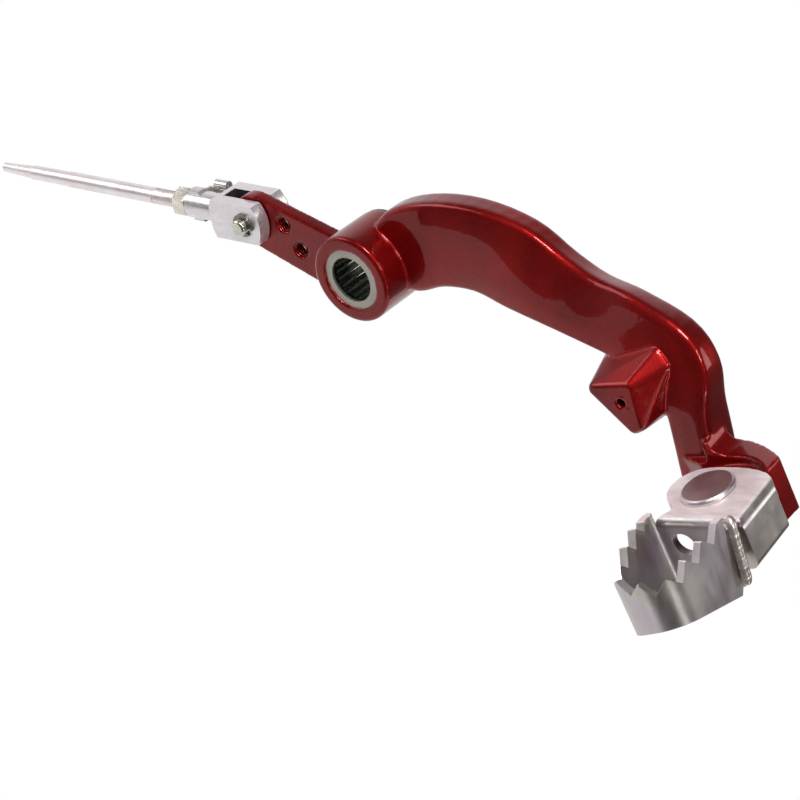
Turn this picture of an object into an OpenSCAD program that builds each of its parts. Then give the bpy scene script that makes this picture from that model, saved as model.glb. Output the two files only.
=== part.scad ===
// Rear brake pedal: forged arm on a needle bearing, folding saw-tooth toe
// piece, and a clevis with a threaded push rod on the rear lever.
// +X runs forward to the toe, +Y inboard to the machine, +Z up.
// The origin is the centre of the pivot bore.

/* [Pivot] */
// Outer radius of the pivot boss
boss_r = 16; // [14:0.5:18]
// Rounding at the rims of the pivot boss
boss_edge = 1.2; // [0.6:0.2:1.8]
// Outer radius of the bearing cup
cup_r = 11; // [10.8:0.1:12]
// Wall of the drawn bearing cup
cup_t = 1; // [0.8:0.1:1.2]
// Length of the bearing cup
cup_l = 20; // [17:0.5:20.5]
// Depth of the near cup face below the boss face
cup_sink = 0.6; // [0.3:0.1:0.9]
// Room in the boss behind the cup, for the seal's spigot
seal_room = 2.4; // [2:0.2:3]
// Radius of a bearing needle
needle_r = 0.95; // [0.8:0.05:1]
// Number of needles
needle_n = 20; // [12:1:20]
// Radius of the opening in the cup lips
lip_r = 8.25; // [8.2:0.05:8.5]
// Outer radius of the dust seal flange on the inboard side
seal_r = 16.4; // [14.5:0.2:18.5]
// Thickness of the dust seal flange
seal_t = 1; // [0.8:0.1:2]

/* [Rear lever] */
// Thickness of the flat rear lever
lever_t = 5; // [4.5:0.5:7]
// Radius of the lever's round end
lever_end_r = 9; // [8.8:0.2:10.6]
// Radius of the clevis pin
pin_r = 3; // [2.5:0.25:3.5]
// Distance of the clevis pin behind the pivot
pin_x = 49; // [47:1:52]
// Height of the clevis pin over the pivot
pin_z = 11.5; // [9:0.5:13]

/* [Clevis and push rod] */
// Width of the clevis across its ears
clevis_w = 16; // [15:0.5:19]
// Height of the clevis ears
clevis_h = 14.6; // [13:0.2:17]
// Slot between the ears, with play on both sides of the lever
slot_play = 0.5; // [0.3:0.1:0.8]
// Length of the ears in front of the pin
ear_front = 7.4; // [6.6:0.2:9]
// Length of the clevis body behind the pin
clevis_back = 16; // [15:0.5:20]
// Depth of the slot behind the pin
slot_back = 12; // [11:0.5:13]
// Radius of the clevis neck
neck_r = 5.2; // [4.6:0.1:5.6]
// Length of the clevis neck
neck_l = 16; // [12:1:24]
// Radius of the push rod
rod_r = 3; // [2.6:0.1:3.4]
// Length of the rod from the clevis slot to its tip
rod_l = 122; // [90:2:180]
// Length of the threaded stretch, from the clevis slot
thread_l = 38; // [34:1:46]
// Length of the full-size shank behind the thread
shank_l = 46; // [30:1:46]
// Length of the tapered tip
rod_taper = 18; // [8:1:30]
// Width of the locknut across its flats
nut_flats = 10; // [9:0.5:13]
// Height of the locknut
nut_h = 6; // [4:0.5:7]

/* [Toe piece] */
// Thickness of the folded sheet
sheet = 2.5; // [2:0.1:2.8]
// Height of the folded bracket
bracket_h = 17; // [15.5:0.5:18]
// Outer bend radius of the folds
bend_r = 3; // [2.9:0.1:3.4]
// Distance from the toe pin to the outer face of the front wall
front_x = 20.3; // [20:0.1:22]
// Distance from the toe pin to the outer face of the cross wall
cross_y = 15.2; // [15:0.1:17]
// Radius of the toe pin
toe_pin_r = 4; // [3.5:0.25:4.5]
// Radius of the toe pin head
toe_head_r = 8.8; // [7:0.2:9.4]
// Thickness of the toe pin head
toe_head_t = 1.8; // [1:0.2:3]
// Height of the saw teeth over the bracket top
tooth_top = 4.4; // [3.4:0.2:5.4]
// Depth of the saw teeth
tooth_d = 4.2; // [3:0.2:5]
// Spacing of the saw teeth along the rim
tooth_pitch = 9; // [8.6:0.1:10]
// Radius of the round hole in the cross wall
cross_hole_r = 3.9; // [2.5:0.1:4.4]
// Backward lean of the toe pin in degrees
toe_lean = 14; // [12:0.5:16]
// Outboard lean of the toe pin in degrees
toe_cant = 5.2; // [4:0.2:6.4]
// Running gap between the tongue and the bracket
tongue_gap = 0.3; // [0.3:0.05:0.45]

/* [Arm] */
// Rounding of the stop lug's edges
lug_round = 2.4; // [1.8:0.2:3]
// Radius of the small hole in the stop lug
lug_hole_r = 1.6; // [1.2:0.1:2]
// Extra thickness over the whole forged arm
arm_grow = 0; // [0:0.1:0.5]

/* [Hidden] */
$fn = 64;
eps = 0.01;
run = 0.05;              // radial running clearance of pins and needles

// Pivot
boss_w = cup_sink + cup_l + seal_room;
boss_y0 = -boss_w / 2;
boss_y1 = boss_w / 2;
cup_y0 = boss_y0 + cup_sink;
cup_y1 = cup_y0 + cup_l;
race_r = cup_r - cup_t;
lip_t = 0.9;
needle_pcr = race_r - run - needle_r;
needle_l = cup_l - 2 * lip_t - 2.6;
cage_t = 0.9;
needle_y = (cup_y0 + cup_y1) / 2;

// Rear lever and clevis
slot_w = lever_t + 2 * slot_play;
ear_t = (clevis_w - slot_w) / 2;
ear_round = clevis_h * 0.85;
hole_r = pin_r + run;
hole_2 = [-35.3, 11.2];
hole_3 = [-29.2, 2.3];
pin_head_t = 2;
pin_head_r = pin_r + 2.2;
clip_t = 0.9;
pin_out = 3.8;
circlip_t = 0.8;

// Toe piece
toe_pos = [147.1, -29.8, -35.0];
tongue_z1 = -sheet - tongue_gap;
tongue_z0 = -bracket_h + sheet + tongue_gap;
tongue_r = 9.6;
thread_r = rod_r - 0.2;
sweep_r = 17.4;
teeth_n = 9;
spring_wire = 1.5;
spring_turns = 3;
spring_r = toe_pin_r + 1.9;
spring_bore_r = spring_r + spring_wire / 2 + 0.4;
spring_pitch = spring_wire + 0.25;
spring_h = spring_turns * spring_pitch + spring_wire;

// Helpers
function rot2(p, a) = [p[0] * cos(a) - p[1] * sin(a), p[0] * sin(a) + p[1] * cos(a)];
function sgn_pow(v, e) = sign(v) * pow(abs(v), e);
function cum(v, i = 0, s = 0) =
    i >= len(v) ? [] : concat([s + v[i]], cum(v, i + 1, s + v[i]));

// Smooth value between stations i and i+1 of a table
function smooth(a, b, c, d, t) =
    0.5 * ((2 * b) + (c - a) * t + (2 * a - 5 * b + 4 * c - d) * t * t
    + (3 * b - a - 3 * c + d) * t * t * t);
function station(tab, u) =
    let (n = len(tab), i = min(floor(u), n - 2), t = u - i)
    smooth(tab[max(i - 1, 0)], tab[i], tab[i + 1], tab[min(i + 2, n - 1)], t);

// Closed solid through rings of equally many points
module loft(rings) {
    m = len(rings[0]);
    n = len(rings);
    pts = [for (r = rings) for (p = r) p];
    sides = [for (i = [0 : n - 2]) for (j = [0 : m - 1])
        let (a = i * m + j, b = i * m + (j + 1) % m, c = a + m, d = b + m)
        each [[a, b, d], [a, d, c]]];
    low = [for (j = [0 : m - 1]) m - 1 - j];
    high = [for (j = [0 : m - 1]) (n - 1) * m + j];
    polyhedron(points = pts, faces = concat([low], sides, [high]), convexity = 8);
}

// Outline around circles [x, y, r] given counter-clockwise, moved inward by d
function tangent_angle(a, b, d) =
    let (v = [b[0] - a[0], b[1] - a[1]], l = norm(v))
    atan2(v[1], v[0]) - 90 + asin((a[2] - b[2]) / l);
function unwrap(a, b) = b < a ? unwrap(a, b + 360) : (b >= a + 360 ? unwrap(a, b - 360) : b);
function belt(cs, d = 0, step = 12) = [
    for (i = [0 : len(cs) - 1])
        let (n = len(cs), c = cs[i], p = cs[(i + n - 1) % n], q = cs[(i + 1) % n],
             a0 = tangent_angle(p, c, d), a1 = unwrap(a0, tangent_angle(c, q, d)),
             k = max(1, ceil((a1 - a0) / step)), r = c[2] - d)
        for (j = [0 : k]) let (a = a0 + (a1 - a0) * j / k)
            [c[0] + r * cos(a), c[1] + r * sin(a)]
];

// Point and heading at the distance s along a closed outline
function along(pts, s, i = 0) =
    let (n = len(pts), a = pts[i % n], b = pts[(i + 1) % n], l = norm(b - a))
    (s <= l && l > eps) ? [a + (b - a) * (s / l), atan2(b[1] - a[1], b[0] - a[0])]
    : along(pts, s - l, i + 1);

module rod_y(r, y0, y1) {
    translate([0, y0, 0]) rotate([-90, 0, 0]) cylinder(r = r, h = y1 - y0);
}
module ring_y(r1, r0, y0, y1) {
    difference() {
        rod_y(r1, y0, y1);
        rod_y(r0, y0 - 1, y1 + 1);
    }
}
module at_pin() { translate([-pin_x, 0, pin_z]) children(); }
module at_toe() { translate(toe_pos) rotate([toe_cant, -toe_lean, 0]) children(); }

// Pedal arm
// Each row: x, y, z of the centre, heading, half height, half width, roll, corner power
arm_table = [
    [4, 5.3, 2, 24, 9, 5.8, 0, 6],
    [14, 5.3, 6.8, 18, 15, 5.8, 0, 6],
    [28, 5.3, 11.8, 9, 15.6, 5.8, 0, 6],
    [45, 5.3, 12.8, -5, 15.7, 5.8, 2, 6],
    [62, 4.2, 9.4, -18, 15.6, 5.8, 6, 6],
    [77, 2.4, 4.4, -21, 12.7, 5.7, 13, 6],
    [92, 0.1, 0.8, -15, 11, 5.8, 17, 6],
    [107, -2.4, -1.8, -15, 10.8, 5.8, 13, 6],
    [120.2, -4.4, -6.4, -32, 11.8, 6.1, 7, 6],
    [127.4, -5.4, -13.8, -58, 10.2, 6.4, 3, 6],
    [129.2, -5.4, -22, -78, 8, 7.1, 0, 6],
    [130.4, -5.1, -32, -84, 7.4, 7.7, 0, 6],
    [131.6, -5.1, -42, -82, 7.3, 7.8, 0, 6],
    [132.6, -5.1, -50, -82, 7.2, 7.8, 0, 6]
];
arm_steps = 4;
arm_sides = 32;

function arm_ring(s) =
    let (h = s[3], a = s[4] + arm_grow, b = s[5] + arm_grow, e = 2 / s[7],
         up = [-sin(h), 0, cos(h)], side = [0, 1, 0],
         n = up * cos(s[6]) + side * sin(s[6]), w = side * cos(s[6]) - up * sin(s[6]))
    [for (j = [0 : arm_sides - 1]) let (t = 360 * (j + 0.5) / arm_sides)
        [s[0], s[1], s[2]] + n * a * sgn_pow(cos(t), e) + w * b * sgn_pow(sin(t), e)];

module arm_loft() {
    n = (len(arm_table) - 1) * arm_steps;
    loft([for (i = [0 : n]) arm_ring(station(arm_table, i / arm_steps))]);
}

// Stop lug: a rounded wedge standing outboard of the bend
lug_points = [
    [102.5, -19, -15.3], [115.6, -19, -11.8], [117.7, -19, -24.8], [115.6, -19, -26.2],
    [99.5, -5, -12.8], [119.7, -10, -5], [122.6, -11, -8], [121, -11, -21.5],
    [119.5, -8, -24.5], [106, -3, -20]
];
module stop_lug() {
    hull() for (p = lug_points) translate(p) sphere(r = lug_round, $fn = 28);
}

// Flat lever with its round end about the clevis pin
lever_root = [[-8, -3.7, 10.6], [-6, -3.7, 10.6]];
lever_plan = belt(concat([[-pin_x + 2.4, pin_z - 2.9, lever_end_r]], lever_root), 0, 10);
module rear_lever() {
    translate([0, lever_t / 2, 0]) rotate([90, 0, 0])
        linear_extrude(lever_t) polygon(lever_plan);
}

module pivot_boss() {
    rotate([-90, 0, 0]) rotate_extrude() difference() {
        translate([0, boss_y0]) square([boss_r, boss_w]);
        for (m = [0, 1]) translate([boss_r, m == 0 ? boss_y0 : boss_y1])
            mirror([0, m]) difference() {
                translate([-boss_edge, -1]) square([boss_edge + 1, boss_edge + 1]);
                translate([-boss_edge, boss_edge]) circle(r = boss_edge, $fn = 32);
            }
    }
}

// Foot of the arm in the toe frame: a gusset with a round recess, and the tongue
foot_d = bracket_h + 2;
foot_fillet = 6.3;
foot_plan = [
    [-20, 17], [-10, 13], [14.4, 8], [15.4, 17.6], [11.5, 20.6], [6.5, 23.7],
    [-0.4, 26.6], [-8, 27.5], [-20, 26.5]
];
module arm_foot() {
    difference() {
        union() {
            translate([0, 0, -foot_d]) linear_extrude(foot_d) polygon(foot_plan);
            // fillet from the foot's top up the front of the stem
            translate([-7.8, 26.4, 0]) rotate([90, 0, 0]) linear_extrude(12) difference() {
                translate([-1.7, -0.4]) square([foot_fillet + 1.7, foot_fillet + 0.4]);
                translate([foot_fillet, foot_fillet]) circle(r = foot_fillet);
            }
        }
        translate([0, 0, -foot_d - 1]) cylinder(r = sweep_r, h = foot_d + foot_fillet + 2, $fn = 96);
    }
    translate([0, 0, tongue_z0]) linear_extrude(tongue_z1 - tongue_z0) {
        circle(r = tongue_r);
        polygon([[-tongue_r, 0], [tongue_r, 0], [15.5, 2.5], [16.4, 6], [13, 12.6],
            [8, 16.5], [8, 19], [-tongue_r, 19]]);
    }
}

module pedal_arm() {
    color([0.55, 0.03, 0.05]) difference() {
        union() {
            difference() {
                arm_loft();
                rod_y(boss_r - 2, -20, 20);
            }
            stop_lug();
            pivot_boss();
            rear_lever();
            at_toe() arm_foot();
        }
        rod_y(cup_r, -20, 20);
        at_pin() rod_y(hole_r, -10, 10);
        for (h = [hole_2, hole_3]) translate([h[0], 0, h[1]]) rod_y(hole_r, -10, 10);
        translate([112.6, 0, -17.6]) rod_y(lug_hole_r, -30, -17);
        at_toe() {
            translate([0, 0, -30]) cylinder(r = toe_pin_r + run, h = 40);
            translate([0, 0, tongue_z0 - 1])
                cylinder(r = spring_bore_r, h = 1.2 + spring_h);
        }
    }
}

// Needle bearing
module bearing_cup() {
    color([0.62, 0.60, 0.57]) rotate([-90, 0, 0]) rotate_extrude() difference() {
        translate([lip_r, cup_y0]) square([cup_r - lip_r, cup_l]);
        translate([lip_r - 1, cup_y0 + lip_t]) square([race_r - lip_r + 1, cup_l - 2 * lip_t]);
    }
}

module needle_ring(r, l) {
    for (i = [0 : needle_n - 1]) rotate([0, 360 * i / needle_n, 0])
        translate([needle_pcr, 0, 0]) rod_y(r, needle_y - l / 2, needle_y + l / 2, $fn = 24);
}
module bearing_needles() {
    color([0.75, 0.78, 0.74]) needle_ring(needle_r, needle_l);
}
module bearing_cage() {
    half = cup_l / 2 - lip_t - 0.3;
    color([0.35, 0.38, 0.33]) difference() {
        ring_y(needle_pcr + cage_t / 2, needle_pcr - cage_t / 2, needle_y - half, needle_y + half);
        needle_ring(needle_r + run, needle_l + 0.4);
    }
}

module dust_seal() {
    color([0.10, 0.10, 0.11]) difference() {
        union() {
            rod_y(seal_r, boss_y1, boss_y1 + seal_t);
            rod_y(cup_r - eps, cup_y1 + 0.1, boss_y1 + eps);
        }
        rod_y(lip_r + 0.35, 0, 30);
    }
}

// Folding toe piece
// Plan circles of the tread loop, counter-clockwise: x, y, r
loop_circles = [
    [14.5, -cross_y + sheet - 3, 3],
    [-8.2, -cross_y + sheet - 5.6, 5.6],
    [3.4, -41, 10.3],
    [9.3, -43.8, 8.2]
];
loop_out = belt(loop_circles, 0, 12);
loop_in = belt(loop_circles, sheet, 12);
loop_low = -24;

// Plan of the bracket's top plate
top_plan = [
    [front_x, -cross_y], [front_x, 4.2], [18.6, 6.6], [15.7, 8.9], [12, 10.4], [8, 11.3],
    [3, 11.8], [-2, 11.9], [-6.5, 11.6], [-9.6, 10.8], [-12.3, 9], [-14.3, 6.3],
    [-15.1, 3.2], [-15.1, 0.5], [-14.3, -2.2], [-12.8, -4.6], [-10.7, -6.9], [-8.6, -8.4],
    [-7.9, -9.8], [-8.4, -11.6], [-10, -13.2], [-11.6, -cross_y]
];
// Plan of the bracket's bottom plate
bottom_plan = [
    [front_x, -11], [front_x, 4.2], [16, 6.4], [6, 9.4], [0, 9.7], [-6, 7.6], [-9.2, 3],
    [-9.4, -2.4], [-6, -7.4], [2, -9.6], [12, -11]
];

module round_corner_box(w, h, r, far = 40) {
    // reaches from [w - far, h - far] to [w, h], rounded at [w, h]
    union() {
        translate([w - far, h - far]) square([far - r, far]);
        translate([w - far, h - far]) square([far, far - r]);
        translate([w - r, h - r]) circle(r = r);
    }
}

module bracket_form(inset) {
    // solid form of the bracket, folded over the front and the outboard edge
    r = bend_r - inset;
    intersection() {
        translate([0, 40, 0]) rotate([90, 0, 0]) linear_extrude(80) intersection() {
            round_corner_box(front_x - inset, -inset, r);
            mirror([0, 1]) round_corner_box(front_x - inset, bracket_h - inset, r);
        }
        rotate([90, 0, -90]) translate([0, 0, -40]) linear_extrude(80)
            round_corner_box(cross_y - inset, -inset, r);
    }
}

module toe_bracket() {
    difference() {
        union() {
            intersection() {
                bracket_form(0);
                translate([0, 0, -6]) linear_extrude(10) polygon(top_plan);
            }
            intersection() {
                bracket_form(0);
                translate([front_x - sheet - 3, -cross_y, -bracket_h - 1])
                    cube([10, cross_y + 4.2, bracket_h + 2]);
            }
            intersection() {
                bracket_form(0);
                translate([0, 0, -bracket_h - 1]) linear_extrude(6) polygon(bottom_plan);
            }
        }
        bracket_form(sheet);
    }
}

module tread_loop() {
    s0 = 10.7;
    difference() {
        translate([0, 0, loop_low]) linear_extrude(tooth_top - loop_low) difference() {
            polygon(loop_out);
            polygon(loop_in);
        }
        // saw teeth along the rim
        for (i = [0 : teeth_n - 1]) let (q = along(rim, s0 + i * tooth_pitch))
            translate([q[0][0], q[0][1], 0]) rotate([0, 0, q[1]]) rotate([90, 0, 0])
                translate([0, 0, -5]) linear_extrude(10)
                    polygon([[0, tooth_top - tooth_d], [tooth_pitch / 2 - 0.35, tooth_top],
                        [tooth_pitch / 2 - 0.35, tooth_top + 2], [-tooth_pitch / 2 + 0.35, tooth_top + 2],
                        [-tooth_pitch / 2 + 0.35, tooth_top]]);
        // room over the cross wall, and the relief notch at its end
        translate([-11.2, -cross_y - 1, -bend_r]) cube([40, 12, 20]);
        translate([10, -cross_y - 4, 0]) cube([12, 12, 20]);
        translate([-18, -cross_y - 5, tooth_top - 2.2]) cube([18, 12, 20]);
        translate([-18, -cross_y + 0.2, -2.6]) cube([40, 12, 20]);
        // lower edge, slanted up to the nose and to the front
        translate([17, 0, -29.2]) rotate([-19.7, -14.6, 0])
            translate([-80, -80, -40]) cube([160, 160, 40]);
        // chamfer under the weld
        translate([12, -24.2, -21]) rotate([48, 0, 0]) translate([0, 0, -20]) cube([20, 30, 20]);
    }
}
rim = loop_rim(loop_out);
// the rim starts on the front wall at the cross wall and runs outboard
function loop_rim(p) = concat([p[0]], [for (i = [len(p) - 1 : -1 : 1]) p[i]]);

module toe_piece() {
    color([0.80, 0.80, 0.80]) at_toe() difference() {
        union() {
            toe_bracket();
            tread_loop();
        }
        translate([0, 0, -30]) cylinder(r = toe_pin_r, h = 40);
        translate([-3.6, 0, -0.53 * bracket_h]) rotate([90, 0, 0]) cylinder(r = cross_hole_r, h = 24);
    }
}

// Weld bead where the loop's front wall meets the bracket's
weld_top = [front_x - 2.3, -cross_y - 1.8, 0.2];
weld_end = [front_x - 1.5, -cross_y - 5.6, -bracket_h + 1.6];
module toe_weld() {
    color([0.72, 0.70, 0.68]) at_toe()
        for (i = [0 : 8]) translate(weld_top + (weld_end - weld_top) * i / 8) sphere(r = 1.6, $fn = 20);
}

module toe_pin() {
    color([0.70, 0.69, 0.70]) at_toe() rotate_extrude() polygon([
        [0, toe_head_t], [toe_head_r - 0.7, toe_head_t], [toe_head_r, toe_head_t - 0.7],
        [toe_head_r, 0], [toe_pin_r, 0], [toe_pin_r, -bracket_h],
        [toe_pin_r + 2, -bracket_h], [toe_pin_r + 2, -bracket_h - 1.2],
        [toe_pin_r + 1, -bracket_h - 2], [0, -bracket_h - 2]
    ]);
}

module toe_spring() {
    steps = 18 * spring_turns;
    color([0.45, 0.46, 0.48]) at_toe() loft([
        for (i = [0 : steps]) let (a = 360 * spring_turns * i / steps,
            z = tongue_z0 + 0.2 + spring_wire / 2 + spring_turns * spring_pitch * i / steps)
            [for (j = [0 : 7]) let (t = 360 * j / 8, r = spring_r + spring_wire / 2 * cos(t))
                [r * cos(a), r * sin(a), z + spring_wire / 2 * sin(t)]]
    ]);
}

// Clevis and push rod
module clevis() {
    color([0.82, 0.81, 0.86]) at_pin() difference() {
        union() {
            intersection() {
                translate([-clevis_back, -clevis_w / 2, -clevis_h / 2])
                    cube([clevis_back + ear_front, clevis_w, clevis_h]);
                rotate([0, 0, 0]) rod_y(clevis_back + 0.4, -clevis_w, clevis_w);
                translate([ear_front - ear_round, 0, 0]) union() {
                    rod_y(ear_round, -clevis_w, clevis_w);
                    translate([-40, -clevis_w, -20]) cube([40, 2 * clevis_w, 40]);
                }
            }
            translate([-clevis_back - neck_l, 0, 0]) rotate([0, 90, 0]) cylinder(r = neck_r, h = neck_l + 1);
        }
        translate([-slot_back, -slot_w / 2, -20]) cube([40, slot_w, 40]);
        rod_y(hole_r, -20, 20);
        translate([-60, 0, 0]) rotate([0, 90, 0]) cylinder(r = thread_r, h = 60);
    }
}

module clevis_pin() {
    y0 = -clevis_w / 2 - pin_out;
    y1 = clevis_w / 2 + clip_t + run;
    g0 = -clevis_w / 2 - circlip_t - 0.15;
    g1 = -clevis_w / 2 - 0.05;
    color([0.74, 0.68, 0.48]) at_pin() rotate([-90, 0, 0]) rotate_extrude() polygon([
        [0, y0], [pin_r - 0.6, y0], [pin_r, y0 + 0.6], [pin_r, g0], [pin_r - 0.5, g0],
        [pin_r - 0.5, g1], [pin_r, g1], [pin_r, y1], [pin_head_r, y1],
        [pin_head_r, y1 + pin_head_t - 0.5], [pin_head_r - 0.5, y1 + pin_head_t], [0, y1 + pin_head_t]
    ]);
}

module pin_circlip() {
    y0 = -clevis_w / 2 - circlip_t - 0.1;
    color([0.22, 0.20, 0.20]) at_pin() difference() {
        ring_y(pin_r + 1.3, pin_r - 0.5, y0, y0 + circlip_t);
        rotate([0, 40, 0]) translate([0, y0 - 1, -1.3]) cube([20, 4, 2.6]);
    }
}

// Strap of the retaining clip, from under the pin head back to a band on the neck
module pin_clip() {
    y0 = clevis_w / 2;
    x0 = -clevis_back - neck_l + 0.8;
    x1 = -clevis_back - 2;
    band = 5;
    tail = 6;
    color([0.60, 0.60, 0.64]) at_pin() {
        difference() {
            union() {
                rod_y(5.2, y0, y0 + clip_t);
                translate([x1 - 0.5, y0, -5.2]) cube([-x1 + 0.5, clip_t, 10.4]);
                translate([x0, y0, -3]) cube([x1 - x0, clip_t, 6]);
            }
            rod_y(hole_r, -20, 20);
        }
        translate([x0, neck_r, -3]) cube([clip_t, y0 + clip_t - neck_r, 6]);
        // rolled tail
        translate([x1 - 3 - tail, y0 + 0.6, 4.3]) rotate([0, 90, 0]) difference() {
            cylinder(r = 1.9, h = tail);
            translate([0, 0, -1]) cylinder(r = 1.1, h = tail + 2);
        }
        translate([x0, 0, 0]) rotate([0, 90, 0]) difference() {
            cylinder(r = neck_r + clip_t, h = band);
            translate([0, 0, -1]) cylinder(r = neck_r + 0.05, h = 20);
            translate([-20, -20, -1]) cube([40, 18, 20]);
        }
    }
}

module locknut() {
    x1 = -clevis_back - neck_l - 0.1;
    color([0.78, 0.79, 0.82]) at_pin() translate([x1 - nut_h, 0, 0]) rotate([0, 90, 0]) difference() {
        intersection() {
            cylinder(r = nut_flats / sqrt(3), h = nut_h, $fn = 6);
            rotate_extrude() polygon([[0, 0], [nut_flats / 2 - 0.1, 0], [nut_flats / 2 + 0.9, 0.6],
                [nut_flats / 2 + 0.9, nut_h - 0.6], [nut_flats / 2 - 0.1, nut_h], [0, nut_h]]);
        }
        translate([0, 0, -1]) cylinder(r = thread_r, h = nut_h + 2);
    }
}

module push_rod() {
    back = thread_l + shank_l;
    color([0.88, 0.89, 0.92]) at_pin() translate([-slot_back - 1.2, 0, 0]) rotate([0, -90, 0])
        rotate_extrude() polygon([
            [0, 0], [thread_r - 0.5, 0], [thread_r, 0.5], [thread_r, thread_l], [rod_r, thread_l],
            [rod_r, back], [rod_r - 0.2, back], [rod_r - 0.2, rod_l - rod_taper],
            [rod_r - 0.5, rod_l - rod_taper + 1], [rod_r - 1.2, rod_l - 0.8],
            [rod_r - 1.9, rod_l], [0, rod_l]
        ]);
}

pedal_arm();
bearing_cup();
bearing_cage();
bearing_needles();
dust_seal();
toe_piece();
toe_weld();
toe_pin();
toe_spring();
clevis();
clevis_pin();
pin_circlip();
pin_clip();
locknut();
push_rod();
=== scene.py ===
import bpy, bmesh, math
from mathutils import Vector, Matrix


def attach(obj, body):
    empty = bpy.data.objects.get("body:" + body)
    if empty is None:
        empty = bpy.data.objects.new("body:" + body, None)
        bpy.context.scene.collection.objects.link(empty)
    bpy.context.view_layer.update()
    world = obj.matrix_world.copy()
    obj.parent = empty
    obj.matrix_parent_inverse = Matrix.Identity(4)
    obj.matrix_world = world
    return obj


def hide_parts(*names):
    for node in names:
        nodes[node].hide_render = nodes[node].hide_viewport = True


# Rear brake pedal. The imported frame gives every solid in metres; this script
# gives the pieces their skins, small details, finishes and the studio.
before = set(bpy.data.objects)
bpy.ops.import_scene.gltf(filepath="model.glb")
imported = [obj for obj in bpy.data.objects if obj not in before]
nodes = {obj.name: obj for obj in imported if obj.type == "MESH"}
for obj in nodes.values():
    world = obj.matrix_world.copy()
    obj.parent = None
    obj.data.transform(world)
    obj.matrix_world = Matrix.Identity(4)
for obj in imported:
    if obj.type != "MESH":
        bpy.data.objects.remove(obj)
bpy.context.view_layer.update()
print("stage: frame loaded,", len(nodes), "nodes")

mm = 0.001

cameraView = {
    "place": (0.4395, -0.4634, 0.3067),
    "right": (0.777, 0.607, -0.165),
    "up": (-0.194, 0.481, 0.855),
    "back": (0.598, -0.633, 0.492),
    "lens": 93.1,
    "sensor": 36,
    "clip": 0.01,
}


def placeCamera(view):
    data = bpy.data.cameras.new("camera")
    data.lens = view["lens"]
    data.sensor_width = view["sensor"]
    data.clip_start = view["clip"]
    cam = bpy.data.objects.new("camera", data)
    bpy.context.scene.collection.objects.link(cam)
    turn = Matrix((view["right"], view["up"], view["back"])).transposed().to_4x4()
    cam.matrix_world = Matrix.Translation(view["place"]) @ turn
    bpy.context.scene.camera = cam


placeCamera(cameraView)


# Small helpers for node trees
def addNode(tree, kind, inputs=None, **settings):
    node = tree.nodes.new(kind)
    for key, value in settings.items():
        setattr(node, key, value)
    for key, value in (inputs or {}).items():
        socket = node.inputs[key]
        if isinstance(value, bpy.types.NodeSocket):
            tree.links.new(value, socket)
        else:
            socket.default_value = value
    return node


def startMaterial(name):
    mat = bpy.data.materials.new(name)
    mat.use_nodes = True
    tree = mat.node_tree
    tree.nodes.clear()
    shader = addNode(tree, "ShaderNodeBsdfPrincipled")
    out = addNode(tree, "ShaderNodeOutputMaterial")
    tree.links.new(shader.outputs["BSDF"], out.inputs["Surface"])
    place = addNode(tree, "ShaderNodeTexCoord").outputs["Object"]
    return mat, tree, shader, place


def noise(tree, place, scale, detail=2.0, rough=0.5, stretch=None, turn=None):
    if stretch:
        settings = {"Vector": place, "Scale": stretch}
        if turn:
            settings["Rotation"] = turn
        place = addNode(tree, "ShaderNodeMapping", settings).outputs[0]
    settings = {"Vector": place, "Scale": scale, "Detail": detail, "Roughness": rough}
    return addNode(tree, "ShaderNodeTexNoise", settings).outputs["Fac"]


def ramp(tree, value, stops):
    node = addNode(tree, "ShaderNodeValToRGB", {"Fac": value})
    line = node.color_ramp
    while len(line.elements) < len(stops):
        line.elements.new(0.5)
    for element, (place, colour) in zip(line.elements, stops):
        element.position = place
        element.color = (*colour, 1)
    return node.outputs["Color"]


def mixColour(tree, share, one, two):
    node = addNode(tree, "ShaderNodeMix", data_type="RGBA")
    for socket, value in ((node.inputs[0], share), (node.inputs[6], one), (node.inputs[7], two)):
        if isinstance(value, bpy.types.NodeSocket):
            tree.links.new(value, socket)
        elif isinstance(value, tuple):
            socket.default_value = (*value, 1)
        else:
            socket.default_value = value
    return node.outputs[2]


def span(tree, value, fromLow, fromHigh, low, high):
    settings = {"Value": value, "From Min": fromLow, "From Max": fromHigh, "To Min": low,
                "To Max": high}
    return addNode(tree, "ShaderNodeMapRange", settings).outputs[0]


def sums(tree, kind, one, two):
    return addNode(tree, "ShaderNodeMath", {0: one, 1: two}, operation=kind).outputs[0]


def dot(tree, one, two):
    node = addNode(tree, "ShaderNodeVectorMath", {0: one, 1: two}, operation="DOT_PRODUCT")
    return node.outputs["Value"]


def bump(tree, height, strength, distance, below=None):
    settings = {"Height": height, "Strength": strength, "Distance": distance}
    node = addNode(tree, "ShaderNodeBump", settings)
    if below:
        tree.links.new(below, node.inputs["Normal"])
    return node.outputs["Normal"]


# Candy paint: fine metal flake under a clear coat
candyRed = {
    "deep": (0.12, 0.0010, 0.0016),
    "bright": (0.28, 0.0040, 0.0035),
    "colourEnds": (0.28, 0.88),
    "flakeScale": 2600,
    "flakeShare": 0.28,
    "flakeStrength": 0.12,
    "flakeDepth": 0.03 * mm,
    "cloudScale": 55,
    "cloudShare": 0.85,
    "cloudEnds": (0.3, 0.7),
    "metallic": 0.68,
    "roughness": (0.34, 0.43),
    "specular": 0.15,
    "coatIor": 1.34,
    "coatWeight": 0.75,
    "coatRoughness": 0.03,
    "peelScale": 380,
    "peelStrength": 0.06,
    "peelDepth": 0.12 * mm,
}


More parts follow.
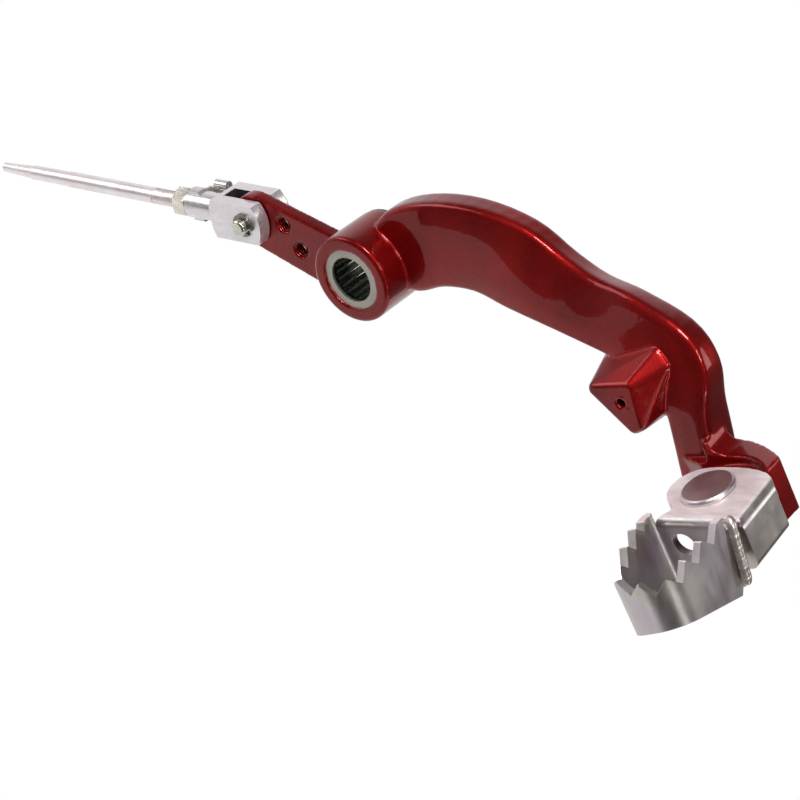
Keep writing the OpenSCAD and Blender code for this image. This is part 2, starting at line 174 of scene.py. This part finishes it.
def makeCandyRed(finish):
    mat, tree, shader, place = startMaterial("candyRed")
    flakes = addNode(tree, "ShaderNodeTexVoronoi", {"Vector": place, "Scale": finish["flakeScale"]})
    grain = addNode(tree, "ShaderNodeSeparateColor", {"Color": flakes.outputs["Color"]}).outputs[0]
    cloud = noise(tree, place, finish["cloudScale"], 3)
    mixed = sums(tree, "ADD", sums(tree, "MULTIPLY", grain, finish["flakeShare"]),
                 sums(tree, "MULTIPLY", cloud, finish["cloudShare"]))
    start, end = finish["colourEnds"]
    colour = ramp(tree, mixed, [(start, finish["deep"]), (end, finish["bright"])])
    tree.links.new(colour, shader.inputs["Base Color"])
    shader.inputs["Metallic"].default_value = finish["metallic"]
    rough = span(tree, cloud, *finish["cloudEnds"], *finish["roughness"])
    tree.links.new(rough, shader.inputs["Roughness"])
    ripples = noise(tree, place, finish["peelScale"], 1)
    peel = bump(tree, ripples, finish["peelStrength"], finish["peelDepth"])
    sparkle = bump(tree, grain, finish["flakeStrength"], finish["flakeDepth"], peel)
    tree.links.new(sparkle, shader.inputs["Normal"])
    tree.links.new(peel, shader.inputs["Coat Normal"])
    shader.inputs["Specular IOR Level"].default_value = finish["specular"]
    shader.inputs["Coat Weight"].default_value = finish["coatWeight"]
    shader.inputs["Coat Roughness"].default_value = finish["coatRoughness"]
    shader.inputs["Coat IOR"].default_value = finish["coatIor"]
    return mat


# Plated and bare steel: clouds of two tints, rolled or turned streaks, fine scratches
metalGrain = {
    "spotEnds": (0.34, 0.66),
    "driftEnds": (0.42, 0.62),
    "driftStretch": (1, 1, 1.6),
    "driftTurn": (0.4, 0.2, 0.9),
    "polishEnds": (0.14, 0.38),
    "streakStrength": 0.25,
    "waveStrength": 0.35,
    "scratchScale": 900,
    "scratchStretch": (1, 0.06, 1),
    "scratchTurn": (0.3, 0.5, 0.8),
    "scratchEnds": (0.62, 0.75),
    "scratchStrength": 0.2,
    "scratchDepth": 0.006 * mm,
}


def addHeat(tree, colour, place, spots, heat):
    middle = (Vector(heat["start"]) + Vector(heat["end"])) / 2
    away = addNode(tree, "ShaderNodeVectorMath", {0: place, 1: tuple(middle)},
                   operation="DISTANCE").outputs["Value"]
    uneven = sums(tree, "ADD", away, sums(tree, "MULTIPLY", spots, heat["unevenness"]))
    near = span(tree, uneven, heat["inner"], heat["outer"], heat["share"], 0.0)
    return mixColour(tree, near, colour, heat["colour"])


# Painted light: up-facing faces at the bracket's top-plate level get a lighter, less metallic
# colour that stands in for light falling from above
def addPaintedTopLight(tree, shader, colour, place, finish):
    top = finish["paintedTopLight"]
    height = dot(tree, place, top["up"])
    facing = dot(tree, addNode(tree, "ShaderNodeTexCoord").outputs["Normal"], top["up"])
    start, end = [top["level"] - depth for depth in top["depths"]]
    litTopShare = sums(tree, "MULTIPLY", span(tree, height, start, end, 0.0, 1.0),
                 span(tree, facing, *top["facing"], 0.0, 1.0))
    metallic = span(tree, litTopShare, 0.0, 1.0, finish["metallic"], top["metallic"])
    tree.links.new(metallic, shader.inputs["Metallic"])
    brushed = noise(tree, place, top["brushScale"], 3, 0.6, top["brushStretch"], top["brushTurn"])
    start, end = top["brushEnds"]
    paintedSheen = ramp(tree, brushed, [(start, top["low"]), (end, top["high"])])
    return mixColour(tree, litTopShare, colour, paintedSheen)


# Painted shade: inside the clevis slot, between the two ears, the colour is made dark where shade
# falls
def addSlotShade(tree, colour, place, slot):
    axes = addNode(tree, "ShaderNodeSeparateXYZ", {"Vector": place}).outputs
    aside = addNode(tree, "ShaderNodeMath", {0: axes["Y"]}, operation="ABSOLUTE").outputs[0]
    slotShade = sums(tree, "MULTIPLY", sums(tree, "LESS_THAN", aside, slot["halfWidth"]),
                  sums(tree, "GREATER_THAN", axes["X"], slot["back"]))
    return mixColour(tree, slotShade, colour, slot["colour"])


def makeMetal(name, finish, grain):
    mat, tree, shader, place = startMaterial(name)
    spots = noise(tree, place, finish.get("spotScale", 60), 4, 0.6)
    start, end = grain["spotEnds"]
    colour = ramp(tree, spots, [(start, finish["low"]), (end, finish["high"])])
    if "tint" in finish:
        drift = noise(tree, place, finish["tintScale"], 2, 0.5,
                      grain["driftStretch"], grain["driftTurn"])
        share = span(tree, drift, *grain["driftEnds"], 0.0, finish.get("tintShare", 0.8))
        colour = mixColour(tree, share, colour, finish["tint"])
    if "heat" in finish:
        colour = addHeat(tree, colour, place, spots, finish["heat"])
    if "paintedTopLight" in finish:
        colour = addPaintedTopLight(tree, shader, colour, place, finish)
    else:
        shader.inputs["Metallic"].default_value = finish.get("metallic", 1.0)
    # painted shade inside the clevis slot
    if "slot" in finish:
        colour = addSlotShade(tree, colour, place, finish["slot"])
    tree.links.new(colour, shader.inputs["Base Color"])
    streaks = noise(tree, place, finish.get("streakScale", 700), 3, 0.6,
                    finish.get("streak", (1, 1, 1)))
    scratches = noise(tree, place, grain["scratchScale"], 2, 0.7,
                      grain["scratchStretch"], grain["scratchTurn"])
    polish = sums(tree, "MULTIPLY", spots, streaks)
    rough = span(tree, polish, *grain["polishEnds"], *finish["rough"])
    tree.links.new(rough, shader.inputs["Roughness"])
    surface = bump(tree, streaks, grain["streakStrength"], finish.get("streakDepth", 0.02) * mm)
    if "wave" in finish:
        waves = noise(tree, place, finish["waveScale"], 2)
        surface = bump(tree, waves, grain["waveStrength"], finish["wave"] * mm, surface)
    cuts = span(tree, scratches, *grain["scratchEnds"], 0, 1)
    surface = bump(tree, cuts, grain["scratchStrength"], grain["scratchDepth"], surface)
    tree.links.new(surface, shader.inputs["Normal"])
    return mat


sealRubber = {
    "low": (0.075, 0.062, 0.055),
    "high": (0.115, 0.098, 0.088),
    "grainScale": 900,
    "grainEnds": (0.3, 0.7),
    "grainStrength": 0.3,
    "grainDepth": 0.03 * mm,
    "roughness": 0.55,
}


def makeRubber(finish):
    mat, tree, shader, place = startMaterial("sealRubber")
    grain = noise(tree, place, finish["grainScale"], 3)
    start, end = finish["grainEnds"]
    colour = ramp(tree, grain, [(start, finish["low"]), (end, finish["high"])])
    tree.links.new(colour, shader.inputs["Base Color"])
    shader.inputs["Roughness"].default_value = finish["roughness"]
    surface = bump(tree, grain, finish["grainStrength"], finish["grainDepth"])
    tree.links.new(surface, shader.inputs["Normal"])
    return mat


# Where the toe piece sits, as in the source: the pin's place and its two leans
toePlace = {"place": (147.1, -29.8, -35.0), "lean": 14, "cant": 5.2}


def fromToe(x, y, z):
    lean = Matrix.Rotation(math.radians(-toePlace["lean"]), 3, "Y")
    cant = Matrix.Rotation(math.radians(toePlace["cant"]), 3, "X")
    return (Vector(toePlace["place"]) + lean @ cant @ Vector((x, y, z))) * mm


# The bracket's upper face is painted lighter and less metallic, as painted light from above, with
# brushed streaks in it, and the steel round the weld is darker
toeUp = (fromToe(0, 0, 1) - fromToe(0, 0, 0)).normalized()
plateTopPaintedLight = {
    "up": tuple(toeUp),
    "level": fromToe(0, 0, 0).dot(toeUp),
    "depths": (0.7 * mm, 0.1 * mm),
    "facing": (0.86, 0.96),
    "low": (0.66, 0.57, 0.58),
    "high": (0.88, 0.80, 0.80),
    "metallic": 0.5,
    "brushScale": 260,
    "brushStretch": (0.25, 1.2, 1),
    "brushTurn": (0, 0, 0.5),
    "brushEnds": (0.3, 0.7),
}
weldHeat = {
    "start": fromToe(19, -15.5, 0),
    "end": fromToe(19.5, -19, -15),
    "inner": 7 * mm,
    "outer": 15 * mm,
    "unevenness": 6 * mm,
    "share": 0.35,
    "colour": (0.30, 0.24, 0.22),
}

metals = {
    "cup": {"low": (0.34, 0.31, 0.27), "high": (0.48, 0.45, 0.40), "rough": (0.36, 0.52),
            "streakScale": 1500},
    "cage": {"low": (0.030, 0.036, 0.030), "high": (0.085, 0.095, 0.075), "rough": (0.22, 0.38)},
    "needles": {"low": (0.13, 0.15, 0.13), "high": (0.30, 0.33, 0.28), "rough": (0.10, 0.24)},
    # The zinc finish carries painted light on the bracket's upper face
    "zinc": {"low": (0.40, 0.365, 0.335), "high": (0.58, 0.54, 0.51), "rough": (0.30, 0.44),
             "metallic": 0.95, "tint": (0.47, 0.41, 0.50), "tintScale": 48, "tintShare": 0.5,
             "streak": (1, 1, 0.16), "streakScale": 420, "wave": 0.05, "waveScale": 60,
             "heat": weldHeat, "paintedTopLight": plateTopPaintedLight},
    "weld": {"low": (0.36, 0.31, 0.29), "high": (0.54, 0.48, 0.45), "rough": (0.28, 0.42),
             "metallic": 0.85, "spotScale": 260, "streakDepth": 0.03},
    "toePin": {"low": (0.52, 0.46, 0.47), "high": (0.62, 0.56, 0.57), "rough": (0.34, 0.42),
               "streakDepth": 0.003},
    "spring": {"low": (0.12, 0.12, 0.13), "high": (0.24, 0.24, 0.26), "rough": (0.3, 0.45)},
    "clevis": {"low": (0.70, 0.66, 0.69), "high": (0.81, 0.77, 0.80), "rough": (0.22, 0.38),
               "metallic": 0.8, "tint": (0.72, 0.65, 0.60), "tintScale": 60, "tintShare": 0.4,
               "streak": (0.25, 1, 1), "streakDepth": 0.015,
               # painted shade: the inside of the fork's slot is coloured dark
               "slot": {"halfWidth": 3.06 * mm, "back": -61.4 * mm, "colour": (0.11, 0.11, 0.115)}},
    "yellow": {"low": (0.50, 0.47, 0.37), "high": (0.72, 0.69, 0.60), "rough": (0.18, 0.32),
               "tint": (0.50, 0.51, 0.46), "tintScale": 300},
    "dark": {"low": (0.16, 0.16, 0.14), "high": (0.30, 0.30, 0.26), "rough": (0.26, 0.42)},
    "clip": {"low": (0.60, 0.58, 0.56), "high": (0.78, 0.75, 0.72), "rough": (0.18, 0.32),
             "metallic": 0.85},
    "nut": {"low": (0.66, 0.64, 0.60), "high": (0.84, 0.82, 0.79), "rough": (0.14, 0.30),
            "metallic": 0.85, "tint": (0.66, 0.60, 0.48), "tintScale": 180},
    "rod": {"low": (0.80, 0.76, 0.77), "high": (0.93, 0.90, 0.91), "rough": (0.26, 0.40),
            "metallic": 0.8, "tint": (0.84, 0.74, 0.72), "tintScale": 70, "streak": (0.2, 1, 1)},
}
finishes = {name: makeMetal(name + "Metal", finish, metalGrain) for name, finish in metals.items()}
finishes["red"] = makeCandyRed(candyRed)
finishes["seal"] = makeRubber(sealRubber)
nodeFinish = {
    "pedal_arm": "red", "bearing_cup": "cup", "bearing_cage": "cage", "bearing_needles": "needles",
    "dust_seal": "seal", "toe_piece": "zinc", "toe_weld": "weld", "toe_pin": "toePin",
    "toe_spring": "spring", "clevis": "clevis", "clevis_pin": "yellow", "pin_circlip": "dark",
    "pin_clip": "clip", "locknut": "nut", "push_rod": "rod",
}


def giveFinish(mesh, finish):
    mesh.materials.clear()
    mesh.materials.append(finishes[finish])


for name, finish in nodeFinish.items():
    giveFinish(nodes[name].data, finish)
print("stage: finishes made and given to", len(nodeFinish), "nodes")


def linkPiece(name, mesh):
    piece = bpy.data.objects.new(name, mesh)
    bpy.context.scene.collection.objects.link(piece)
    return piece


def applyModifiers(piece):
    graph = bpy.context.evaluated_depsgraph_get()
    mesh = bpy.data.meshes.new_from_object(piece.evaluated_get(graph))
    piece.modifiers.clear()
    piece.data = mesh
    return mesh


def mergedCopy(node, name, weld=0.002 * mm):
    mesh = nodes[node].data.copy()
    mesh.name = name
    work = bmesh.new()
    work.from_mesh(mesh)
    bmesh.ops.remove_doubles(work, verts=work.verts, dist=weld)
    work.to_mesh(mesh)
    work.free()
    return linkPiece(name, mesh)


# The rear lever is a little broader above its axis than the solid
leverRim = {
    "tip": (-48.6, 10.4),
    "tipRadius": 9.9,
    "root": (-7.8, -3.1),
    "rootRadius": 11.2,
    "upperShare": 0.84,
    "lowerShare": 0.15,
    "width": 2.9,
    "thickness": 5.0,
    "steps": 40,
}


def rimEdge(rim, inset):
    tip, root = Vector(rim["tip"]), Vector(rim["root"])
    along = (root - tip).normalized()
    up = Vector((-along.y, along.x))
    lean = math.asin((rim["rootRadius"] - rim["tipRadius"]) / (root - tip).length)
    quarter = math.pi / 2 - lean

    def onCircle(centre, radius, angle):
        return centre + (radius - inset) * (up * math.sin(angle) - along * math.cos(angle))

    def onSide(side, share):
        start = onCircle(tip, rim["tipRadius"], side * quarter)
        return start.lerp(onCircle(root, rim["rootRadius"], side * quarter), share)

    arc = [onCircle(tip, rim["tipRadius"], quarter * (2 * i / rim["steps"] - 1))
           for i in range(rim["steps"] + 1)]
    return [onSide(-1, rim["lowerShare"])] + arc + [onSide(1, rim["upperShare"])]


def addLeverRim(mesh, rim):
    work = bmesh.new()
    work.from_mesh(mesh)
    half = rim["thickness"] / 2
    rows = []
    for outer, inner in zip(rimEdge(rim, 0), rimEdge(rim, rim["width"])):
        corners = [(outer, -half), (outer, half), (inner, half), (inner, -half)]
        rows.append([work.verts.new(Vector((p.x, depth, p.y)) * mm) for p, depth in corners])
    for one, two in zip(rows, rows[1:]):
        for i in range(4):
            j = (i + 1) % 4
            work.faces.new((one[i], one[j], two[j], two[i]))
    work.faces.new(rows[0][::-1])
    work.faces.new(rows[-1])
    bmesh.ops.recalc_face_normals(work, faces=work.faces)
    work.to_mesh(mesh)
    work.free()


# The forging is a little fuller here than the loft
armSwell = [
    {"place": (132.5, -3.5, -2.0), "push": (1.5, 0, 1.3), "reach": 24},
    {"place": (108.5, 0.5, 8.4), "push": (0.3, 0, 1.5), "reach": 22},
]


def swellSkin(mesh, swells):
    moves = [Vector() for point in mesh.vertices]
    for swell in swells:
        push, middle = Vector(swell["push"]) * mm, Vector(swell["place"]) * mm
        outward = push.normalized()
        for point, move in zip(mesh.vertices, moves):
            share = 1 - (point.co - middle).length / (swell["reach"] * mm)
            if share > 0:
                facing = max(0.0, point.normal.dot(outward))
                move += push * share * share * (3 - 2 * share) * facing
    for point, move in zip(mesh.vertices, moves):
        point.co += move


# Forged arm: the solid's skin made even, its edges run soft and its two broad
# sides made fair, as under thick paint
armSkin = {
    "voxel": 0.5 * mm,
    "quickVoxel": 0.8 * mm,
    "passes": 9,
    "strength": 0.5,
    "keep": 0.62,
    "sideFrom": 26 * mm,
    "sideTo": 128 * mm,
    "sideFacing": 0.93,
    "sidePasses": 500,
}


def addSmooth(piece, strength, passes, group=""):
    smooth = piece.modifiers.new("smooth", "SMOOTH")
    smooth.factor = strength
    smooth.iterations = passes
    smooth.vertex_group = group


def makeArm(skin):
    arm = mergedCopy("pedal_arm", "forgedArm")
    addLeverRim(arm.data, leverRim)
    remesh = arm.modifiers.new("even", "REMESH")
    remesh.mode = "VOXEL"
    remesh.voxel_size = skin["voxel"]
    addSmooth(arm, skin["strength"], skin["passes"])
    mesh = applyModifiers(arm)
    sides = [i for i, point in enumerate(mesh.vertices)
             if skin["sideFrom"] < point.co.x < skin["sideTo"]
             and abs(point.normal.y) > skin["sideFacing"]]
    swellSkin(mesh, armSwell)
    arm.vertex_groups.new(name="sides").add(sides, 1.0, "REPLACE")
    addSmooth(arm, skin["strength"], skin["sidePasses"], "sides")
    thin = arm.modifiers.new("thin", "DECIMATE")
    thin.ratio = skin["keep"]
    mesh = applyModifiers(arm)
    arm.vertex_groups.clear()
    mesh.shade_smooth()
    giveFinish(mesh, "red")
    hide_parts("pedal_arm")
    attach(arm, "pedal")
    return arm


arm = makeArm(armSkin)
print("stage: arm skin,", len(arm.data.vertices), "points")

# Dust seal on the inboard end: a lip, a groove and a thin flange, turned from one
# profile of radius and level
sealShape = {
    "profile": [(8.75, 9.4), (10.9, 9.4), (10.95, 11.5), (15.1, 11.5), (15.6, 11.7), (15.7, 11.95),
                (15.5, 12.25), (15.0, 12.42), (12.7, 12.45), (12.2, 12.1), (11.3, 12.1),
                (10.9, 12.42), (9.7, 12.42), (9.0, 12.1), (8.65, 11.5), (8.75, 10.6)],
    "steps": 96,
    "weld": 0.001 * mm,
    "sharpFrom": 50,
}


def makeSeal(shape):
    mesh = bpy.data.meshes.new("sealRing")
    work = bmesh.new()
    points = [work.verts.new(Vector((radius, level, 0)) * mm) for radius, level in shape["profile"]]
    edges = [work.edges.new((points[i - 1], points[i])) for i in range(len(points))]
    bmesh.ops.spin(work, geom=points + edges, cent=(0, 0, 0), axis=(0, 1, 0), angle=math.tau,
                   steps=shape["steps"])
    bmesh.ops.remove_doubles(work, verts=work.verts, dist=shape["weld"])
    bmesh.ops.recalc_face_normals(work, faces=work.faces)
    work.to_mesh(mesh)
    work.free()
    seal = linkPiece("sealRing", mesh)
    mesh.shade_smooth()
    mesh.set_sharp_from_angle(angle=math.radians(shape["sharpFrom"]))
    giveFinish(mesh, "seal")
    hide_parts("dust_seal")
    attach(seal, "pedal")


makeSeal(sealShape)
print("stage: seal turned")

# Sheet, turned and milled pieces whose edges are broken by a small round. The
# angles are in degrees: where faces merge, are rounded and stay sharp
edgeAngles = {"merge": 1, "round": 35, "sharp": 32}
softEdges = {
    "toe_piece": {"name": "toePiece", "finish": "zinc", "slot": "zinc_steel", "body": "toe",
                  "round": 0.40},
    "toe_pin": {"name": "toePin", "finish": "toePin", "slot": "pin_steel", "body": "toe",
                "round": 0.35},
    "clevis": {"name": "clevisFork", "finish": "clevis", "slot": "clevis_zinc", "body": "linkage",
               "round": 0.35},
    "locknut": {"name": "lockNut", "finish": "nut", "slot": "nut_zinc", "body": "linkage",
                "round": 0.2},
    "clevis_pin": {"name": "clevisPin", "finish": "yellow", "slot": "yellow_zinc",
                   "body": "linkage", "round": 0.2},
}


def softenPiece(node, piecePlan, angles):
    piece = mergedCopy(node, piecePlan["name"])
    work = bmesh.new()
    work.from_mesh(piece.data)
    bmesh.ops.dissolve_limit(work, angle_limit=math.radians(angles["merge"]), verts=work.verts,
                             edges=work.edges)
    work.to_mesh(piece.data)
    work.free()
    bevel = piece.modifiers.new("edge", "BEVEL")
    bevel.width = piecePlan["round"] * mm
    bevel.segments = 3
    bevel.limit_method = "ANGLE"
    bevel.angle_limit = math.radians(angles["round"])
    bevel.miter_outer = "MITER_ARC"
    mesh = applyModifiers(piece)
    mesh.shade_smooth()
    mesh.set_sharp_from_angle(angle=math.radians(angles["sharp"]))
    flat = piece.modifiers.new("flat", "WEIGHTED_NORMAL")
    flat.keep_sharp = True
    giveFinish(applyModifiers(piece), piecePlan["finish"])
    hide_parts(node)
    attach(piece, piecePlan["body"])


for node, piecePlan in softEdges.items():
    softenPiece(node, piecePlan, edgeAngles)
print("stage: edges softened on", len(softEdges), "pieces")


# Geometry Nodes: a tree with named inputs, run once and turned into a plain mesh
def startTree(name, sizes):
    tree = bpy.data.node_groups.new(name, "GeometryNodeTree")
    for label, (kind, value) in sizes.items():
        socket = tree.interface.new_socket(label, in_out="INPUT", socket_type=kind)
        socket.default_value = value
    tree.interface.new_socket("Geometry", in_out="OUTPUT", socket_type="NodeSocketGeometry")
    return tree, addNode(tree, "NodeGroupInput").outputs, addNode(tree, "NodeGroupOutput")


def endTree(tree, out, geometry, finish):
    real = addNode(tree, "GeometryNodeRealizeInstances", {0: geometry}).outputs[0]
    settings = {"Geometry": real, "Material": finishes[finish]}
    paint = addNode(tree, "GeometryNodeSetMaterial", settings)
    tree.links.new(paint.outputs[0], out.inputs[0])


def runTree(tree, name, sizes):
    piece = linkPiece(name, bpy.data.meshes.new(name))
    modifier = piece.modifiers.new("build", "NODES")
    modifier.node_group = tree
    for item in tree.interface.items_tree:
        if item.in_out == "INPUT" and item.name in sizes:
            modifier[item.identifier] = sizes[item.name]
    applyModifiers(piece)
    return piece


def joinInto(piece, others):
    work = bmesh.new()
    for mesh in [piece.data] + [other.data for other in others]:
        work.from_mesh(mesh)
    work.to_mesh(piece.data)
    work.free()
    for other in others:
        bpy.data.objects.remove(other)


# Weld bead: overlapping ripples laid along the joint of loop and bracket
weldBead = {
    "Start": fromToe(18.0, -16.9, 0.1),
    "End": fromToe(19.2, -20.9, -15.0),
    "Ripples": 24,
    "Ripple radius": 1.55 * mm,
    "Unevenness": 0.04,
}
weldStart = {
    "Start": fromToe(12.2, -14.9, -0.1),
    "End": fromToe(17.4, -16.2, 0.1),
    "Ripples": 5,
    "Ripple radius": 0.95 * mm,
    "Unevenness": 0.14,
}


def makeWeldTree():
    tree, given, out = startTree("weldRipples", {
        "Start": ("NodeSocketVector", (0, 0, 0)),
        "End": ("NodeSocketVector", (0, 0, 10 * mm)),
        "Ripples": ("NodeSocketInt", 20),
        "Ripple radius": ("NodeSocketFloat", 1.8 * mm),
        "Unevenness": ("NodeSocketFloat", 0.15),
        "Height share": ("NodeSocketFloat", 1.9),
        "Tilt": ("NodeSocketVector", (0.0, -0.35, 0.0)),
    })
    line = addNode(tree, "GeometryNodeMeshLine", {
        "Count": given["Ripples"],
        "Start Location": given["Start"],
        "Offset": given["End"],
    }, mode="END_POINTS").outputs[0]
    ball = addNode(tree, "GeometryNodeMeshIcoSphere", {
        "Radius": given["Ripple radius"],
        "Subdivisions": 4,
    }).outputs[0]
    size = addNode(tree, "FunctionNodeRandomValue", {
        2: sums(tree, "SUBTRACT", 1.0, given["Unevenness"]),
        3: sums(tree, "ADD", 1.0, given["Unevenness"]),
        "Seed": 7,
    }, data_type="FLOAT").outputs[1]
    scale = addNode(tree, "ShaderNodeCombineXYZ", {0: size, 1: size, 2: given["Height share"]})
    along = addNode(tree, "ShaderNodeVectorMath", {0: given["End"], 1: given["Start"]},
                    operation="SUBTRACT").outputs[0]
    turn = addNode(tree, "FunctionNodeAlignRotationToVector", {"Vector": along}, axis="Z")
    tilt = addNode(tree, "FunctionNodeRotateRotation", {0: turn.outputs[0], 1: given["Tilt"]},
                   rotation_space="LOCAL")
    laid = addNode(tree, "GeometryNodeInstanceOnPoints", {
        "Points": line,
        "Instance": ball,
        "Rotation": tilt.outputs[0],
        "Scale": scale.outputs[0],
    }).outputs[0]
    smooth = addNode(tree, "GeometryNodeSetShadeSmooth", {0: laid}).outputs[0]
    endTree(tree, out, smooth, "weld")
    return tree


def makeWeld(bead, beginning):
    tree = makeWeldTree()
    weld = runTree(tree, "weldBead", bead)
    joinInto(weld, [runTree(tree, "weldStart", beginning)])
    weld.data.shade_smooth()
    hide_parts("toe_weld")
    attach(weld, "toe")


makeWeld(weldBead, weldStart)
print("stage: weld bead laid")

# Threads: one on the push rod behind the locknut, one in each spare hole of the lever
rodThread = {
    "from": (-87.4, 0, 11.5),
    "Turns": 12.6,
    "Pitch": 1.0 * mm,
    "Core radius": 2.74 * mm,
    "Ridge": 0.26 * mm,
}
holeThread = {
    "holes": [(-35.3, -2.25, 11.2), (-29.2, -2.25, 2.3)],
    "Turns": 4.5,
    "Pitch": 1.0 * mm,
    "Core radius": 2.86 * mm,
    "Ridge": 0.36 * mm,
}


def makeThreadTree(finish):
    tree, given, out = startTree("rolledThread", {
        "Turns": ("NodeSocketFloat", 10),
        "Pitch": ("NodeSocketFloat", 1.0 * mm),
        "Core radius": ("NodeSocketFloat", 2.7 * mm),
        "Ridge": ("NodeSocketFloat", 0.3 * mm),
    })
    helix = addNode(tree, "GeometryNodeCurveSpiral", {
        "Resolution": 36,
        "Rotations": given["Turns"],
        "Start Radius": given["Core radius"],
        "End Radius": given["Core radius"],
        "Height": sums(tree, "MULTIPLY", given["Turns"], given["Pitch"]),
    }).outputs[0]
    upright = addNode(tree, "GeometryNodeSetCurveNormal", {0: helix}, mode="Z_UP").outputs[0]
    ridge = addNode(tree, "GeometryNodeCurvePrimitiveCircle", {
        "Resolution": 6,
        "Radius": given["Ridge"],
    }, mode="RADIUS").outputs[0]
    swept = addNode(tree, "GeometryNodeCurveToMesh", {0: upright, 1: ridge, "Fill Caps": True})
    endTree(tree, out, swept.outputs[0], finish)
    return tree


def placeThread(thread, start, turn):
    thread.data.transform(Matrix.Translation(Vector(start) * mm) @ turn)
    thread.data.shade_smooth()
    return thread


def makeRodThread(sizes):
    thread = runTree(makeThreadTree("rod"), "rodThread", sizes)
    placeThread(thread, sizes["from"], Matrix.Rotation(math.radians(-90), 4, "Y"))
    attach(thread, "linkage")


def makeHoleThreads(sizes):
    tree = makeThreadTree("red")
    turn = Matrix.Rotation(math.radians(-90), 4, "X")
    first, second = [placeThread(runTree(tree, "holeThreads", sizes), start, turn)
                     for start in sizes["holes"]]
    joinInto(first, [second])
    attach(first, "pedal")


makeRodThread(rodThread)
makeHoleThreads(holeThread)
print("stage: threads cut")

# Table and room, in metres. The outline's corners are distances from the pivot
# along the camera's heading and to its left. The paper ends short of the camera,
# so metal that faces the camera turns dark
studio = {
    "height": -0.30,
    "heading": (-0.687, 0.727),
    "outline": [(2.2, 25.0), (-2.2, 25.0), (-0.13, 0.93), (-0.27, 0.25), (-0.42, -0.25),
                (2.2, -0.25)],
    "paper": 0.94,
    "paperColour": (0.85, 0.85, 0.85, 1),
    "brightSide": (-0.90, 0.43, 0.0),
    "brightEnds": (0.25, 0.7),
    "ceiling": (0.10, 0.10, 0.105),
    "ceilingTilt": 0.3,
    "ceilingEnds": (0.30, 0.66),
    "cameraSide": (0.10, 0.096, 0.092),
    "backdrop": (0.90, 0.87, 0.90),
    "strength": 0.95,
    "white": (1, 1, 1, 1),
}


def makePaper(room):
    mat = bpy.data.materials.new("whitePaper")
    mat.use_nodes = True
    tree = mat.node_tree
    tree.nodes.clear()
    path = addNode(tree, "ShaderNodeLightPath").outputs
    mirrored = sums(tree, "MAXIMUM", path["Is Glossy Ray"], path["Is Transmission Ray"])
    seen = sums(tree, "MAXIMUM", path["Is Camera Ray"],
                sums(tree, "MULTIPLY", mirrored, room["paper"]))
    diffuse = addNode(tree, "ShaderNodeBsdfDiffuse", {"Color": room["paperColour"]}).outputs[0]
    glow = addNode(tree, "ShaderNodeEmission", {"Color": room["white"], "Strength": 1.0}).outputs[0]
    mix = addNode(tree, "ShaderNodeMixShader", {0: seen, 1: diffuse, 2: glow})
    out = addNode(tree, "ShaderNodeOutputMaterial")
    tree.links.new(mix.outputs[0], out.inputs["Surface"])
    return mat


def makeTable(room):
    ahead = Vector((*room["heading"], 0))
    aside = Vector((-ahead.y, ahead.x, 0))
    level = Vector((0, 0, room["height"]))
    corners = [level + ahead * far + aside * left for far, left in room["outline"]]
    mesh = bpy.data.meshes.new("table")
    mesh.from_pydata([tuple(c) for c in corners], [], [tuple(range(len(corners)))])
    mesh.materials.append(makePaper(room))
    table = linkPiece("table", mesh)


def makeRoom(room):
    world = bpy.data.worlds.new("room")
    bpy.context.scene.world = world
    world.use_nodes = True
    tree = world.node_tree
    tree.nodes.clear()
    direction = addNode(tree, "ShaderNodeTexCoord").outputs["Generated"]
    height = addNode(tree, "ShaderNodeSeparateXYZ", {"Vector": direction}).outputs["Z"]
    toBack = dot(tree, direction, room["brightSide"])
    isBright = span(tree, toBack, *room["brightEnds"], 0.0, 1.0)
    low = mixColour(tree, isBright, room["cameraSide"], room["backdrop"])
    tilt = sums(tree, "MULTIPLY", toBack, room["ceilingTilt"])
    isHigh = span(tree, sums(tree, "SUBTRACT", height, tilt), *room["ceilingEnds"], 0.0, 1.0)
    shade = mixColour(tree, isHigh, low, room["ceiling"])
    path = addNode(tree, "ShaderNodeLightPath").outputs["Is Camera Ray"]
    lit = addNode(tree, "ShaderNodeBackground", {"Color": shade, "Strength": room["strength"]})
    white = addNode(tree, "ShaderNodeBackground", {"Color": room["white"], "Strength": 1.0})
    mix = addNode(tree, "ShaderNodeMixShader", {0: path, 1: lit.outputs[0], 2: white.outputs[0]})
    out = addNode(tree, "ShaderNodeOutputWorld")
    tree.links.new(mix.outputs[0], out.inputs["Surface"])


lampAim = Vector((0.04, 0, -0.01))
lamps = {
    "overhead": {"place": (0.35, -0.30, 0.85), "size": (0.30, 0.30), "watts": 9.5},
    "keyLeft": {"place": (-0.93, -0.54, 0.92), "size": (0.8, 0.5), "watts": 4.5},
    "frontRight": {"place": (0.95, -0.32, 0.42), "size": (0.22, 0.32), "watts": 4.0},
    "backRight": {"place": (0.80, 0.50, 0.05), "size": (0.35, 0.35), "watts": 1.5},
    "lowRight": {"place": (0.603, -0.154, -0.293), "size": (0.14, 0.06), "watts": 0.32},
}


def makeLamp(name, lamp, aim):
    data = bpy.data.lights.new(name, "AREA")
    data.shape = "RECTANGLE"
    data.size, data.size_y = lamp["size"]
    data.energy = lamp["watts"]
    obj = bpy.data.objects.new(name, data)
    bpy.context.scene.collection.objects.link(obj)
    obj.location = lamp["place"]
    obj.rotation_euler = (aim - Vector(lamp["place"])).to_track_quat("-Z", "Y").to_euler()


makeTable(studio)
makeRoom(studio)
for name, lamp in lamps.items():
    makeLamp(name, lamp, lampAim)
bpy.context.scene.view_settings.view_transform = "Standard"
print("stage: studio set")
